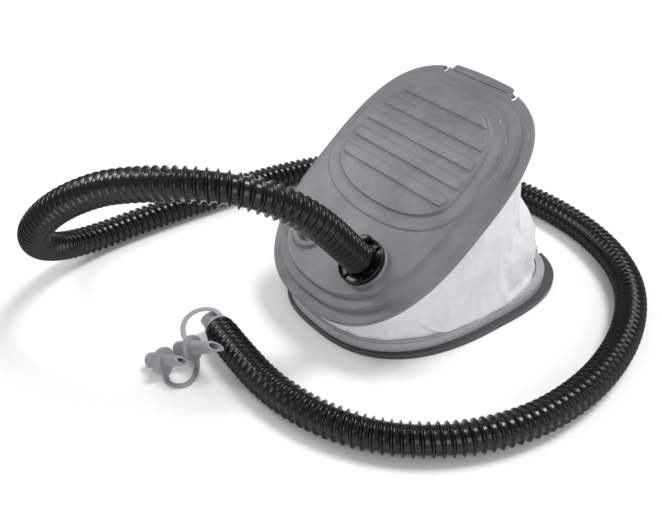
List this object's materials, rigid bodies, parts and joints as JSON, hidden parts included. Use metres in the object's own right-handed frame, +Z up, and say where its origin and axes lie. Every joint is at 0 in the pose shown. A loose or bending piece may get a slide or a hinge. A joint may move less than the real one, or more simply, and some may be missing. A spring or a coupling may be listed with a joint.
{
  "type": "foot air pump",
  "caption": "Bellows foot pump: a sloping ribbed treadle hinged over a flat base by a fabric bellows, with a corrugated bayonet hose and tethered nozzles.",
  "frame": {"origin": "centre of the pump's footprint on the floor", "axes": "+Y from the toe, where the treadle is hinged, to the heel; +Z up; +X to the side of the hose port"},
  "size_m": [0.5405, 0.5869, 0.2189],
  "materials": {
    "treadle_plastic": "moulded polypropylene with a fine satin texture",
    "dark_plastic": "moulded polypropylene, satin",
    "light_plastic": "moulded polypropylene, satin",
    "coated_fabric": "coated woven fabric, soft sheen",
    "hose_plastic": "glossy corrugated plastic",
    "flange_plastic": "glossy moulded plastic",
    "nozzle_plastic": "soft moulded plastic, satin",
    "valve_plastic": "moulded plastic, satin",
    "valve_rubber": "smooth rubber",
    "steel": "plated steel"
  },
  "bodies": {
    "base": {"base_plate": "dark_plastic", "base_rim": "light_plastic", "bellows": "coated_fabric", "hinge_pin": "steel", "return_spring": "steel", "base_screws": "steel", "hose": "hose_plastic", "hose_cuff": "nozzle_plastic", "large_nozzle": "nozzle_plastic", "small_nozzle": "nozzle_plastic", "large_nozzle_strap": "nozzle_plastic", "small_nozzle_strap": "nozzle_plastic"},
    "treadle": {"top_plate": "treadle_plastic", "bellows_ring": "dark_plastic", "treadle_screws": "steel", "outlet_valve_seat": "valve_plastic", "intake_valve_seat": "valve_plastic"},
    "outlet_valve": {"outlet_valve_disc": "valve_rubber"},
    "intake_valve": {"intake_valve_disc": "valve_rubber"},
    "hose_connector": {"hose_flange": "flange_plastic", "flange_gasket": "valve_rubber"}
  },
  "joints": [
    {"name": "treadle_hinge", "type": "hinge", "parent": "base", "child": "treadle", "pos_m": [0, -0.12143, 0.027], "axis": [1, 0, 0], "range_deg": [-36, 0], "stiffness_Nm_per_rad": 3, "springref_deg": 28.65, "deforming": ["bellows", "return_spring"]},
    {"name": "outlet_valve_lift", "type": "slide", "parent": "treadle", "child": "outlet_valve", "axis": [0, -0.6266, 0.7793], "range_m": [0, 0.003]},
    {"name": "intake_valve_lift", "type": "slide", "parent": "treadle", "child": "intake_valve", "axis": [0, 0.6266, -0.7793], "range_m": [0, 0.003], "stiffness_N_per_m": 20, "springref_m": -0.002},
    {"name": "flange_twist", "type": "hinge", "parent": "treadle", "child": "hose_connector", "pos_m": [0.042, -0.11016, 0.08958], "axis": [0, -0.6266, 0.7793], "range_deg": [0, 60]}
  ]
}
